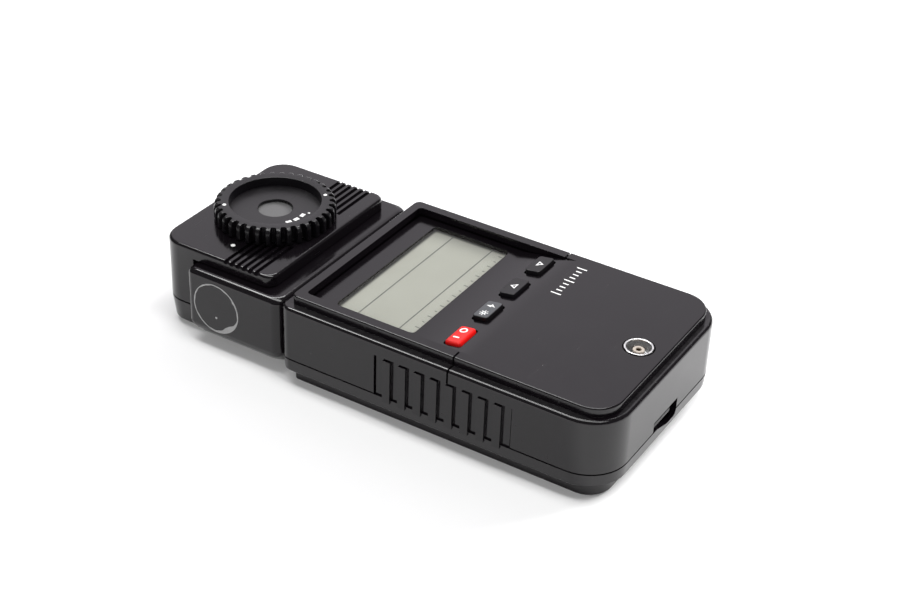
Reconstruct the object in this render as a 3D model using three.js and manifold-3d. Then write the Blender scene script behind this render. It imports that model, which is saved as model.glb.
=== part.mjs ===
// Handheld light meter: a body with a display and keys, and a head that swivels on its end.
// Millimetres, +Z up. The meter lies on its back. The origin is on the resting plane, under the
// middle of the whole object, and +X runs from the head to the foot.
import * as THREE from 'three'
import { mergeVertices } from 'three/addons/utils/BufferGeometryUtils.js'
import Module from 'manifold-3d'

const wasm = await Module()
wasm.setup()

// ---- driving dimensions ----
const totalLength = 138
const bodyLength = 94.6
const bodyWidth = 64
const deckHeight = 26
const shelfHeight = 23.6
const partingHeight = 8.1
const rearStepHeight = 4.35
const rearInset = 2.6
const wall = 2
const gap = 0.3
const seam = 0.4
const caseGap = 0.5

// The body's own frame starts at its head end, so X is the distance from there.
const bodyStart = totalLength / 2 - bodyLength
const halfWidth = bodyWidth / 2
const headEndRadius = 3
const footRadius = 11
const deckInset = 2.64
const deckFootInset = 2.1
const deckFootRadius = 7.6
const backFootRadius = 6.6
const deckStart = 2.05
const deckHeadRadius = 1.8
const shelfRound = 1
const deckRound = 0.45
const caseSeamX = 50.4

// The sunk panel round the display, and the ramp that carries the keys up to the deck.
const recessStart = 4.8
const recessRadius = 1
const recessHalfWidth = 26.4
const recessHeight = shelfHeight
const rampStart = 38.2
const rampEnd = 53.6
const rampAngle = Math.atan2(deckHeight - recessHeight, rampEnd - rampStart)
const windowStart = 11.7
const windowEnd = 35.1
const windowHalfWidth = 23.7
const windowRadius = 1.6
const windowLow = 22.75
const windowHigh = 23.35
const lcdStart = 9.5
const lcdEnd = 37.5
const lcdHalfWidth = 25.4
const lcdLow = 20.6
const lcdHigh = 22.3

const keyRowX = 46.5
const keyPitch = 13.1
const keyLength = 4.7
const keyWidth = 8.4
const keyProud = 1.05
const keyCorner = 0.9
const keySkirt = -2.4
const keyFlange = 1
const matHalfLength = 4.5
const matHalfWidth = 22
const matDrop = 3.9

const gripStart = 29.6
const gripPitch = 4.54
const gripTeeth = 8
const gripTop = 19.4
const gripProud = 0.4
const gripSunk = 0.5
const gripRib = 2.2

const syncX = 85.3
const syncRadius = 3.8
const syncBore = 3
const sleeveRadius = 2.2
const sleeveBore = 1.95
const syncBottom = 22.4
const syncTop = 26.2
const insulatorRadius = 1.65
const insulatorBore = 0.85
const contactRadius = 0.55
const contactBore = 0.32

// The thumb notch in the foot end, with the battery door's latch in it. The rear housing's
// share of it deepens from the near end to the far end.
const notchNear = -7.2
const notchFar = 5.7
const notchTop = 11.2
const notchBottom = 6
const notchRampStart = -4.6
const notchRampEnd = 1.2
const notchCorner = 1.1
const latchWidth = 8.8
const latchBottom = 9.4
const latchTop = 10.6

const cellX = 76
const cellRadius = 7.25
const cellLength = 50.5
const cellHeight = 10.1
const doorStart = 64
const doorEnd = 86
const doorHalfWidth = 27.3
const doorThickness = 2
const springInner = 1.8
const springOuter = 3.3
const springWire = 0.3
const contactHalfWidth = 5
const contactThickness = 0.5
const springRoom = 4

// The head turns about an axis along X at mid thickness.
const swivelHeight = 13
const swivelGap = 1
const tubeRadius = 5
const tubeFlangeRadius = 6.7
const headFarEnd = bodyLength - totalLength
const headRadius = 6.3
const headHalfWidth = 26.2
const headDeckEnd = -6.4
const headBottom = 0.6
const blockStart = -31.7
const blockHalfWidth = 30
const blockTop = 22.5
const blockRound = 1.8
const headRound = 0.9
const headDeckRadius = 3
const blockLowRadius = 2
const blockHighRadius = 3.2

// The receptor ring turns about a vertical axis through the sensor.
const receptorX = -24.7
const ringTeeth = 36
const ringTipRadius = 16.5
const ringRootRadius = 14.6
const ringFaceRadius = 15.1
const ringCupRadius = 12.65
const ringBottom = deckHeight + gap
const ringTop = 30.9
const cupFloor = 28.4
const apertureRadius = 4.75
const undersideRadius = 12.3
const lightWellRadius = 7.4
const discRadius = 5.6
const discLow = 26.8
const discHigh = 27.5

// ---- materials ----
const finish = (color, roughness, metalness = 0) => ({ color, roughness, metalness })
const blackCase = finish(0x1b1a1c, 0.32)
const blackKey = finish(0x161617, 0.5)
const steel = finish(0xb9bbbd, 0.3, 1)
const brass = finish(0xb4904c, 0.35, 1)
const boardGreen = finish(0x1e5b36, 0.6)
const rubberGrey = finish(0x55585a, 0.85)
const cream = finish(0xd9cfb4, 0.6)
const switchBlack = finish(0x2a2b2d, 0.6)

// ---- solids ----
function toManifold(geometry) {
  const bare = geometry.index ? geometry.clone() : geometry
  bare.deleteAttribute('normal')
  bare.deleteAttribute('uv')
  const merged = mergeVertices(bare, 1e-4)
  return new wasm.Manifold(new wasm.Mesh({
    numProp: 3,
    vertProperties: Float32Array.from(merged.attributes.position.array),
    triVerts: Uint32Array.from(merged.index.array)
  }))
}

function toGeometry(solid) {
  const mesh = solid.getMesh()
  const geometry = new THREE.BufferGeometry()
  geometry.setAttribute('position', new THREE.BufferAttribute(mesh.vertProperties, 3))
  geometry.setIndex(new THREE.BufferAttribute(mesh.triVerts, 1))
  return geometry
}

const join = (...parts) => parts.reduce((sum, part) => sum.add(part))
const cut = (body, ...tools) => tools.reduce((rest, tool) => rest.subtract(tool), body)

function box(x0, x1, y0, y1, z0, z1) {
  const geometry = new THREE.BoxGeometry(x1 - x0, y1 - y0, z1 - z0)
  geometry.translate((x0 + x1) / 2, (y0 + y1) / 2, (z0 + z1) / 2)
  return toManifold(geometry)
}

// A rectangle with round corners: one radius at its low-X end and one at its high-X end, each
// quarter circle drawn in the given number of steps.
function roundedOutline(x0, x1, half, lowRadius, highRadius, lowSteps = 3, highSteps = 3) {
  const points = []
  const corner = (x, y, radius, turn, steps) => {
    for (let i = 0; i <= steps; i++) {
      const angle = (turn + i / steps) * Math.PI / 2
      points.push(new THREE.Vector2(x + radius * Math.cos(angle), y + radius * Math.sin(angle)))
    }
  }
  corner(x0 + lowRadius, -half + lowRadius, lowRadius, 2, lowSteps)
  corner(x1 - highRadius, -half + highRadius, highRadius, 3, highSteps)
  corner(x1 - highRadius, half - highRadius, highRadius, 0, highSteps)
  corner(x0 + lowRadius, half - lowRadius, lowRadius, 1, lowSteps)
  return points
}

// The levels [z, inset] of a round edge that ends at the given height.
function roundEdge(top, radius, steps = 4) {
  const levels = []
  for (let i = 0; i <= steps; i++) {
    const angle = i / steps * Math.PI / 2
    levels.push([top - radius * (1 - Math.sin(angle)), radius * (1 - Math.cos(angle))])
  }
  return levels
}

// A solid through the same outline at rising levels [z, inset], so that its sides can slope.
function loft(outlineAt, levels) {
  const rings = levels.map(([z, inset]) => ({ z, points: outlineAt(inset) }))
  const count = rings[0].points.length
  const positions = []
  const index = []
  for (const { z, points } of rings) {
    for (const point of points) positions.push(point.x, point.y, z)
  }
  for (let level = 0; level < rings.length - 1; level++) {
    for (let i = 0; i < count; i++) {
      const a = level * count + i
      const b = level * count + (i + 1) % count
      index.push(a, b, b + count, a, b + count, a + count)
    }
  }
  const top = (rings.length - 1) * count
  for (const [a, b, c] of THREE.ShapeUtils.triangulateShape(rings[0].points, [])) {
    index.push(a, c, b)
  }
  for (const [a, b, c] of THREE.ShapeUtils.triangulateShape(rings[rings.length - 1].points, [])) {
    index.push(top + a, top + b, top + c)
  }
  const geometry = new THREE.BufferGeometry()
  geometry.setAttribute('position', new THREE.Float32BufferAttribute(positions, 3))
  geometry.setIndex(index)
  return toManifold(geometry)
}

const prism = (points, z0, z1) => {
  const settings = { depth: z1 - z0, bevelEnabled: false }
  return toManifold(new THREE.ExtrudeGeometry(new THREE.Shape(points), settings).translate(0, 0, z0))
}

// A prism whose outline is drawn in X and Z, and which runs along Y from -half to +half.
function sidePrism(points, half) {
  const shape = new THREE.Shape(points.map(([x, z]) => new THREE.Vector2(x, z)))
  const geometry = new THREE.ExtrudeGeometry(shape, { depth: 2 * half, bevelEnabled: false })
  geometry.translate(0, 0, -half).rotateX(Math.PI / 2)
  return toManifold(geometry)
}

// A turned solid about the vertical axis through (x, y), from a closed profile of [radius, z].
function turned(x, y, profile, steps = 24) {
  const points = profile.map(([r, z]) => new THREE.Vector2(r, z))
  if (profile[0][0] > 0) points.push(points[0].clone())
  const geometry = new THREE.LatheGeometry(points, steps)
  geometry.rotateX(Math.PI / 2).translate(x, y, 0)
  return toManifold(geometry)
}

const disc = (x, y, radius, z0, z1, steps = 20) =>
  turned(x, y, [[0, z0], [radius, z0], [radius, z1], [0, z1]], steps)
const washer = (x, y, inner, outer, z0, z1, steps = 24) =>
  turned(x, y, [[inner, z0], [outer, z0], [outer, z1], [inner, z1]], steps)

// The same turned solids about the swivel axis, with [radius, x] profiles.
function swivelTurned(profile, steps = 24) {
  const points = profile.map(([r, x]) => new THREE.Vector2(r, x))
  if (profile[0][0] > 0) points.push(points[0].clone())
  const geometry = new THREE.LatheGeometry(points, steps)
  geometry.rotateZ(-Math.PI / 2).translate(0, 0, swivelHeight)
  return toManifold(geometry)
}

const swivelDisc = (radius, x0, x1, steps = 24) =>
  swivelTurned([[0, x0], [radius, x0], [radius, x1], [0, x1]], steps)
const swivelWasher = (inner, outer, x0, x1) =>
  swivelTurned([[inner, x0], [outer, x0], [outer, x1], [inner, x1]])

function mesh(name, solid, look) {
  const node = new THREE.Mesh(toGeometry(solid), new THREE.MeshStandardMaterial(look))
  node.name = name
  return node
}

// ---- body shells ----
const bodyOutline = inset => roundedOutline(
  inset, bodyLength - inset, halfWidth - inset,
  Math.max(headEndRadius - inset, 0.6), footRadius - inset, 4, 9)
const deckOutline = inset => roundedOutline(
  deckStart + inset, bodyLength - deckFootInset - inset, halfWidth - deckInset - inset,
  deckHeadRadius - inset, deckFootRadius - inset, 4, 8)
const hollowOutline = inset => roundedOutline(
  inset, bodyLength - inset, halfWidth - inset, 0.8, footRadius - inset, 1, 5)
const backOutline = inset => roundedOutline(
  rearInset + inset, bodyLength - rearInset - inset, halfWidth - rearInset - inset,
  1.2, backFootRadius - inset, 2, 7)

const screwPlaces = [[5.2, -25.5], [5.2, 25.5], [59.5, -25.5], [59.5, 25.5]]
const bossRadius = 2.4
const pilotRadius = 1.3
const screwShankRadius = 1
const screwHeadRadius = 2
const screwSeat = 1.6
const bossTop = 22.2

function screwBosses(places) {
  return places.map(([x, y]) => disc(x, y, bossRadius, partingHeight + seam / 2, bossTop, 12))
}
const pilotHoles = places => places.map(([x, y]) => disc(x, y, pilotRadius, 0, 18, 12))

// Both front mouldings before they are split: walls, the shelf and the raised deck.
function frontBlank() {
  const base = partingHeight + seam / 2
  const walls = loft(bodyOutline, [[base, 0], ...roundEdge(shelfHeight, shelfRound)])
  const deck = loft(deckOutline, [[shelfHeight - 1, 0], ...roundEdge(deckHeight, deckRound)])
  const cavity = prism(hollowOutline(wall), base - 1, shelfHeight - wall)
  const underDeck = prism(roundedOutline(
    deckStart + wall, bodyLength - deckInset - wall, halfWidth - deckInset - wall, 1, 5, 1, 4),
  base, deckHeight - wall)
  return cut(join(walls, deck), cavity, underDeck)
}

// The opening in the near wall that the ribbed grip stands in.
const gripEnd = gripStart + gripPitch * (gripTeeth + 1) - gripRib
const gripWindow = () => box(gripStart - seam, gripEnd + seam, -halfWidth - 1, -halfWidth + wall + 0.5,
  partingHeight - 1, gripTop + seam)

const swivelBore = () => swivelDisc(tubeRadius + gap, -1, wall + 1)

const measureX = 21
const measureZ = 15.2
const measureLength = 13.4
const measureHeight = 7.2
const switchStart = 36
const switchTravel = 6
const switchKnobLength = 4
const switchKnobHeight = 3.4

// The panel's outline, which runs on past the seam between the two front mouldings.
const recessOutline = inset => roundedOutline(recessStart + inset, rampEnd + 2,
  recessHalfWidth - inset, recessRadius, 0.3, 3, 1)

function displayHousing() {
  const recess = prism(recessOutline(0), 5, deckHeight + 4)
  const beyondSeam = box(caseSeamX - caseGap / 2, bodyLength + 1, -40, 40, 0, 40)
  const measureHole = box(
    measureX - measureLength / 2 - gap, measureX + measureLength / 2 + gap, halfWidth - wall - 1,
    halfWidth + 1, measureZ - measureHeight / 2 - gap, measureZ + measureHeight / 2 + gap)
  const switchSlot = box(
    switchStart - gap, switchStart + switchKnobLength + switchTravel + gap, halfWidth - wall - 1,
    halfWidth + 1, measureZ - switchKnobHeight / 2 - gap, measureZ + switchKnobHeight / 2 + gap)
  const shell = cut(frontBlank(), recess, beyondSeam)
  const ends = screwPlaces.slice(0, 2)
  return cut(join(shell, ...screwBosses(ends)), ...pilotHoles(ends),
    gripWindow(), swivelBore(), measureHole, switchSlot)
}

// The key row's frame: its origin is on the ramp, and its Z is the ramp's normal.
const keyRowHeight = recessHeight + (keyRowX - rampStart) * Math.tan(rampAngle)
const keyRowMatrix = new THREE.Matrix4().makeRotationY(-rampAngle)
  .setPosition(keyRowX, 0, keyRowHeight)
const inKeyRow = solid => toManifold(toGeometry(solid).applyMatrix4(keyRowMatrix))

function frontCover() {
  const blank = cut(frontBlank(), box(-5, caseSeamX + caseGap / 2, -40, 40, 0, 40))
  const panelFloor = recessHeight - 1
  const panel = prism(recessOutline(gap), panelFloor, deckHeight)
  const sunk = sidePrism([
    [recessStart - 1, recessHeight], [rampStart, recessHeight], [rampEnd, deckHeight],
    [rampEnd, deckHeight + 2], [recessStart - 1, deckHeight + 2]], recessHalfWidth)
  const windowHole = prism(roundedOutline(
    windowStart, windowEnd, windowHalfWidth, windowRadius, windowRadius, 4, 4), lcdLow - 1, deckHeight)
  const pocketHalfLength = keyLength / 2 + 2 * keyFlange + 0.85
  const pocketHalfWidth = 1.5 * keyPitch + keyWidth / 2 + 2 * keyFlange - 0.25
  const matPocket = inKeyRow(box(
    -pocketHalfLength, pocketHalfLength, -pocketHalfWidth, pocketHalfWidth, -6, -1.8))
  const keyHoles = [-1.5, -0.5, 0.5, 1.5].map(place => inKeyRow(prism(
    roundedOutline(-keyLength / 2 - gap, keyLength / 2 + gap, keyWidth / 2 + gap, 1, 1),
    -4, 4).translate([0, place * keyPitch, 0])))
  const syncHole = disc(syncX, 0, syncRadius + gap, syncBottom - 3, deckHeight + 1, 24)
  const notch = box(bodyLength - wall - 1, bodyLength + 1, notchNear, notchFar, 0, notchTop)
  const ends = screwPlaces.slice(2)
  return cut(join(blank, panel, ...screwBosses(ends)), sunk, matPocket, windowHole,
    ...keyHoles, syncHole, notch, ...pilotHoles(ends), gripWindow())
}

// The outline of the grip in plan: a floor below the wall's face, and ribs that stand a little
// proud of the face.
function gripOutline() {
  const face = -halfWidth
  const points = [[gripStart, face + wall - gap], [gripStart, face + gripSunk]]
  for (let rib = 1; rib <= gripTeeth; rib++) {
    const x = gripStart + rib * gripPitch
    points.push([x - gripRib, face + gripSunk], [x - gripRib, face - gripProud])
    points.push([x, face - gripProud], [x, face + gripSunk])
  }
  points.push([gripEnd, face + gripSunk], [gripEnd, face + wall - gap])
  return points.map(([x, y]) => new THREE.Vector2(x, y))
}

function rearHousing() {
  const edge = partingHeight - seam / 2
  const tray = loft(bodyOutline, [[rearStepHeight, 0.5], [rearStepHeight + 0.3, 0.25], [edge, 0]])
  const plate = loft(backOutline, [[0, 0.7], [0.7, 0], [rearStepHeight + 1, 0]])
  const upper = prism(hollowOutline(wall), rearStepHeight + wall, edge + 2)
  const lower = prism(hollowOutline(rearInset + wall), wall, edge)
  const grip = prism(gripOutline(), edge - 1, gripTop)
  const doorway = prism(
    roundedOutline(doorStart - gap, doorEnd + gap, doorHalfWidth + gap, 0.5, 2.4, 1, 3), -1, wall + 2)
  const notch = prism(notchOutline(), bodyLength - wall - 3, bodyLength + 1)
  const heads = screwPlaces.map(([x, y]) => disc(x, y, screwHeadRadius + gap, -1, screwSeat, 12))
  const pillars = screwPlaces.map(([x, y]) => disc(x, y, bossRadius, 1, edge, 10))
  const clipRoom = box(wall, 8, -9.5, 9.5, rearStepHeight + 0.25, edge + 1)
  return cut(join(cut(join(tray, plate), upper, lower), grip, ...pillars), doorway,
    toEndWall(notch), clipRoom, ...heads, ...pilotHoles(screwPlaces), swivelBore())
}

// The rear's share of the notch, drawn in Y and Z and run along X through the end wall: it is
// deep at the far side, with a round corner, and slopes up to the parting line at the near side.
function notchOutline() {
  const points = [
    new THREE.Vector2(notchRampStart, partingHeight + 2),
    new THREE.Vector2(notchRampStart, partingHeight - 0.3),
    new THREE.Vector2(notchRampEnd, notchBottom)]
  const steps = 3
  for (let i = 0; i <= steps; i++) {
    const angle = (3 + i / steps) * Math.PI / 2
    points.push(new THREE.Vector2(
      notchFar - notchCorner + notchCorner * Math.cos(angle),
      notchBottom + notchCorner + notchCorner * Math.sin(angle)))
  }
  points.push(new THREE.Vector2(notchFar, partingHeight + 2))
  return points
}

// Turns a prism drawn in Y and Z, and raised along Z, so that it runs along X.
function toEndWall(solid) {
  const turn = new THREE.Matrix4().makeBasis(
    new THREE.Vector3(0, 1, 0), new THREE.Vector3(0, 0, 1), new THREE.Vector3(1, 0, 0))
  return toManifold(toGeometry(solid).applyMatrix4(turn))
}

// The door swings about its inner edge, which is round.
const doorLow = 0.35
const doorAxisX = doorStart + doorThickness / 2
const doorAxisHeight = doorLow + doorThickness / 2

function batteryDoor() {
  const high = doorLow + doorThickness
  const hookStart = doorEnd - 2.4
  const leaf = prism(roundedOutline(doorAxisX, doorEnd, doorHalfWidth, 0.3, 2.1, 1, 3), doorLow, high)
  const edgeRoll = toManifold(new THREE.CylinderGeometry(
    doorThickness / 2, doorThickness / 2, 2 * doorHalfWidth, 12).translate(doorAxisX, 0, doorAxisHeight))
  const hook = box(hookStart, hookStart + 1.6, -0.5, 4, high - 0.5, high + 1.6)
  return join(leaf, edgeRoll, hook)
}

// The latch slides towards the open part of the notch. Its bar runs behind the end wall, and
// its arm reaches in over the floor to the battery door's hook.
function doorLatch() {
  const near = notchNear + gap
  const innerFace = bodyLength - wall - gap
  const armNear = near + 0.2
  const armFar = armNear + 2.2
  const barBottom = 7
  const tab = box(innerFace - 1, bodyLength - 0.15, near, near + latchWidth, latchBottom, latchTop)
  const bar = box(innerFace - 1.2, innerFace, near - 1.5, near + latchWidth + 1.5, barBottom, notchTop + 1.5)
  const arm = box(doorEnd - 1.6, innerFace - 0.5, armNear, armFar, barBottom, barBottom + 1.4)
  const finger = box(doorEnd - 1.6, doorEnd + 0.2, armNear, armFar,
    doorLow + doorThickness + 0.45, barBottom + 1)
  return join(tab, bar, arm, finger)
}

// ---- keys and buttons ----
function keyCap() {
  const outline = inset => roundedOutline(
    -keyLength / 2 + inset, keyLength / 2 - inset, keyWidth / 2 - inset, keyCorner, keyCorner)
  const cap = loft(outline, [[keySkirt, 0], [keyProud - 0.4, 0], [keyProud, 0.35]])
  const reachX = keyLength / 2 + keyFlange
  const reachY = keyWidth / 2 + keyFlange
  const flange = box(-reachX, reachX, -reachY, reachY, keySkirt - 0.5, keySkirt + 0.3)
  return join(cap, flange)
}

function measureButton() {
  const face = halfWidth + gripProud
  const cap = box(measureX - measureLength / 2, measureX + measureLength / 2, halfWidth - wall - 0.6,
    face, measureZ - measureHeight / 2, measureZ + measureHeight / 2)
  const flange = box(measureX - measureLength / 2 - 1, measureX + measureLength / 2 + 1,
    halfWidth - wall - 1.1, halfWidth - wall - gap, measureZ - measureHeight / 2 - 1,
    measureZ + measureHeight / 2 + 1)
  return join(cap, flange)
}

function modeSwitch() {
  const low = measureZ - switchKnobHeight / 2
  const high = measureZ + switchKnobHeight / 2
  const knob = box(switchStart, switchStart + switchKnobLength,
    halfWidth - wall - 0.6, halfWidth + 0.3, low, high)
  const shutter = box(switchStart - 3, switchStart + switchKnobLength + 3, halfWidth - wall - 1.1,
    halfWidth - wall - gap, low - 1.4, high + 1.4)
  return join(knob, shutter)
}

// ---- inside the body ----
const boardTop = 18
const boardBottom = 16.4

function mainBoard() {
  const board = box(9.6, 63, -22.5, 22.5, boardBottom, boardTop)
  const chip = box(18, 32, -7, 7, boardBottom - 1.4, boardBottom + 0.2)
  const driver = box(38, 46, -14, -4, boardBottom - 1.2, boardBottom + 0.2)
  return join(board, chip, driver)
}

// The electrical switches beside the board, behind the far wall's button and slider.
const switchBody = (x0, x1) => box(x0, x1, 23, halfWidth - 5, 13, boardTop)

function keyMat() {
  const bottom = boardTop + gap
  const half = matHalfLength
  const top = x => keyRowHeight - matDrop + x * Math.tan(rampAngle)
  return sidePrism([
    [keyRowX - half, bottom], [keyRowX + half, bottom],
    [keyRowX + half, top(half)], [keyRowX - half, top(-half)]], matHalfWidth)
}

function batteryCell() {
  const radius = cellRadius
  const half = cellLength / 2
  const profile = [[0, -half], [radius - 0.6, -half], [radius, -half + 0.6], [radius, half - 2],
    [radius - 0.6, half - 1.4], [2.6, half - 1.4], [2.6, half], [0, half]]
  const geometry = new THREE.LatheGeometry(profile.map(([r, y]) => new THREE.Vector2(r, y)), 20)
  return toManifold(geometry.translate(cellX, 0, cellHeight))
}

function batterySpring() {
  const turns = 3
  const steps = 30
  const depth = 2.7
  const start = -cellLength / 2 - gap
  const points = []
  for (let i = 0; i <= steps; i++) {
    const t = i / steps
    const angle = t * turns * 2 * Math.PI
    const radius = springInner + (springOuter - springInner) * t
    points.push(new THREE.Vector3(
      cellX + radius * Math.cos(angle), start - 0.4 - depth * t, cellHeight + radius * Math.sin(angle)))
  }
  const wire = new THREE.Shape()
  wire.absarc(0, 0, springWire, 0, 2 * Math.PI)
  const path = new THREE.CatmullRomCurve3(points)
  return toManifold(new THREE.ExtrudeGeometry(wire, { steps: 42, curveSegments: 5, extrudePath: path }))
}

const contactPlate = y => box(
  cellX - contactHalfWidth, cellX + contactHalfWidth, y - contactThickness / 2, y + contactThickness / 2,
  cellHeight - 3.4, cellHeight + 6)

// ---- sync socket ----
function syncShell() {
  const shoulder = syncBottom + 0.4
  const floor = syncBottom + 1.2
  const sleeveTop = syncTop - 0.9
  return turned(syncX, 0, [
    [sleeveBore, syncBottom], [syncBore, syncBottom], [syncBore, shoulder], [syncRadius, shoulder],
    [syncRadius, syncTop - 0.2], [syncRadius - 0.2, syncTop], [syncBore + 0.2, syncTop],
    [syncBore, syncTop - 0.3], [syncBore, floor], [sleeveRadius, floor], [sleeveRadius, sleeveTop],
    [sleeveBore, sleeveTop]], 20)
}
const syncInsulator = () => washer(
  syncX, 0, insulatorBore, insulatorRadius, syncBottom, syncTop - 1.2, 16)
function syncContact() {
  const tail = syncBottom - 1.8
  const neck = syncBottom - 1.2
  const tip = syncTop - 1.5
  const boreFloor = syncBottom + 0.6
  return turned(syncX, 0, [
    [0, tail], [0.3, tail], [0.3, neck], [contactRadius, neck],
    [contactRadius, tip], [contactBore, tip], [contactBore, boreFloor], [0, boreFloor]], 12)
}

function machineScrew(x, y, seat, length) {
  const head = disc(x, y, screwHeadRadius, seat - 1.2, seat, 12)
  const shank = disc(x, y, screwShankRadius, seat - 0.1, seat + length, 8)
  const slotHalf = 0.175
  const slotReach = 1.3
  const slotFloor = seat - 0.7
  const slots = [
    box(x - slotReach, x + slotReach, y - slotHalf, y + slotHalf, seat - 2, slotFloor),
    box(x - slotHalf, x + slotHalf, y - slotReach, y + slotReach, seat - 2, slotFloor)]
  return cut(join(head, shank), ...slots)
}

// ---- head ----
const headOutline = (x1, nearRadius) => inset => roundedOutline(
  headFarEnd + inset, x1 - Math.min(inset, nearRadius), headHalfWidth - inset,
  headRadius - inset / 2, nearRadius, 7, 5)

const headBossPlaces = [[-38.2, -17], [-38.2, 17]]
const grooveCount = 6
const groovePitch = 1.97
const grooveStart = -21.25
const grooveWidth = 1.15
const grooveDepth = 0.9

const headBosses = (radius, z0, z1) => headBossPlaces.map(([x, y]) => disc(x, y, radius, z0, z1, 10))

function headFrontShell() {
  const deckBottom = blockTop + gap
  const base = partingHeight + seam / 2
  const deck = loft(headOutline(headDeckEnd, headDeckRadius), [
    [deckBottom, 0], ...roundEdge(deckHeight, headRound)])
  const walls = prism(headOutline(blockStart - gap, 0.3)(0), base, deckBottom + 0.5)
  const cavity = prism(roundedOutline(headFarEnd + wall, blockStart + 1, headHalfWidth - wall,
    headRadius - wall, 0.3, 4, 1), 0, deckHeight - wall)
  const lightWell = disc(receptorX, 0, lightWellRadius, 0, 40, 24)
  const grooves = []
  for (let i = 0; i < grooveCount; i++) {
    const x = grooveStart + i * groovePitch
    for (const side of [-1, 1]) {
      const ends = [10.2 * side, (headHalfWidth + 1) * side]
      grooves.push(box(x - grooveWidth / 2, x + grooveWidth / 2, Math.min(...ends), Math.max(...ends),
        deckHeight - grooveDepth, deckHeight + 1))
    }
  }
  return cut(join(cut(join(deck, walls), cavity), ...headBosses(bossRadius, base, deckHeight - 1)),
    lightWell, ...headBosses(pilotRadius, 0, 18), ...grooves)
}

function headRearShell() {
  const edge = partingHeight - seam / 2
  const outline = inset => roundedOutline(headFarEnd + inset, blockStart - gap, headHalfWidth - inset,
    headRadius - inset / 2, 0.3, 7, 1)
  const tray = loft(outline, [[headBottom, 1.9], [headBottom + 1.1, 0.6], [edge, 0]])
  const cavity = prism(roundedOutline(headFarEnd + wall + 0.6, blockStart - gap - wall,
    headHalfWidth - wall - 0.6, headRadius - wall, 0.3, 4, 1), headBottom + wall, edge + 1)
  const heads = headBosses(screwHeadRadius + gap, -1, headBottom + screwSeat)
  return cut(join(cut(tray, cavity), ...headBosses(bossRadius, headBottom + 1, edge)), ...heads,
    ...headBosses(pilotRadius, 0, 18))
}

function swivelBlock() {
  const outline = inset => {
    const endInset = Math.min(inset, blockRound)
    return roundedOutline(blockStart + endInset, -swivelGap - endInset, blockHalfWidth - inset,
      blockLowRadius, blockHighRadius, 4, 5)
  }
  const block = loft(outline, [
    [headBottom, 6], [headBottom + 0.5, 4.4], [headBottom + 1.8, 2.6], [4.2, 0.9], [5.2, 0.25], [6.4, 0],
    ...roundEdge(blockTop, blockRound)])
  const hollowHalf = blockHalfWidth - 3.8
  const hatchHalf = 22.5
  const passageHalf = 20
  const hollow = box(blockStart + wall, -swivelGap - wall, -hollowHalf, hollowHalf,
    headBottom + 5.4, blockTop - wall)
  const hatch = box(blockStart + wall, -9.5, -hatchHalf, hatchHalf, blockTop - wall - 1, blockTop + 1)
  const passage = box(blockStart - 1, blockStart + wall + 1, -passageHalf, passageHalf, 9, blockTop + 1)
  return cut(block, hollow, hatch, passage, swivelDisc(tubeRadius + gap, -4, 1, 24))
}

const clipStart = 3.2
const tubeEnd = 5.6
function swivelTube() {
  const inner = tubeRadius - 1.8
  const groove = tubeRadius - 0.9
  const flangeFace = -swivelGap - wall - gap
  return swivelTurned([
    [inner, flangeFace - 1.5], [tubeFlangeRadius, flangeFace - 1.5], [tubeFlangeRadius, flangeFace],
    [tubeRadius, flangeFace],
    [tubeRadius, clipStart], [groove, clipStart], [groove, clipStart + 1.4], [tubeRadius, clipStart + 1.4],
    [tubeRadius, tubeEnd], [inner, tubeEnd]])
}
const washerRadius = 8
const swivelWave = () => swivelWasher(tubeRadius + gap, washerRadius, wall + gap, wall + gap + 0.5)
function swivelClip() {
  const ring = swivelWasher(tubeRadius - 0.55, washerRadius - 0.4, clipStart + gap, clipStart + 1.1)
  const mouth = 2.2
  return cut(ring, box(clipStart, clipStart + 2, -mouth, mouth, 3, swivelHeight - 3))
}

const sensorTop = 17
const sensorBoard = () => box(-35.6, -10.5, -18, 18, sensorTop - 1.2, sensorTop)
const photocell = () => turned(receptorX, 0, [
  [0, sensorTop + gap], [4.6, sensorTop + gap], [4.6, sensorTop + 1], [4.1, sensorTop + 1],
  [4.1, sensorTop + 2.6], [0, sensorTop + 2.6]], 20)
const colourFilter = () => disc(receptorX, 0, 5.4, 23.4, 24.6)
const lightTube = () => turned(receptorX, 0, [
  [4.9, 20.2], [7.1, 20.2], [7.1, 26.2], [5.8, 26.2], [5.8, 23.0], [4.9, 23.0]], 20)
const headWires = () => swivelDisc(1.9, -12, 9.4, 12)
const wirePlug = () => box(9.8, 14.5, -3.2, 3.2, 10.6, boardBottom - gap)

// ---- receptor ----
// A wedge of a ring, from radius r0 to r1, centred on an angle.
function ringSegment(r0, r1, centre, spread, z0, z1) {
  const steps = 4
  const points = []
  for (let i = 0; i <= steps; i++) {
    const angle = centre + spread * (i / steps - 0.5)
    points.push(new THREE.Vector2(r1 * Math.cos(angle), r1 * Math.sin(angle)))
    points.unshift(new THREE.Vector2(r0 * Math.cos(angle), r0 * Math.sin(angle)))
  }
  return prism(points, z0, z1)
}
const lugSpread = 0.6
const lugCentres = [0, Math.PI]

// The toothed outline of the ring: the crests draw in by the inset and the gaps stay.
function toothOutline(inset) {
  const points = []
  const pitch = 2 * Math.PI / ringTeeth
  const crest = ringTipRadius - inset
  const stops = [[-0.32, ringRootRadius], [-0.24, crest], [0.24, crest], [0.32, ringRootRadius]]
  for (let tooth = 0; tooth < ringTeeth; tooth++) {
    for (const [part, radius] of stops) {
      const angle = (tooth + part) * pitch
      points.push(new THREE.Vector2(radius * Math.cos(angle), radius * Math.sin(angle)))
    }
  }
  return points
}

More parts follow.
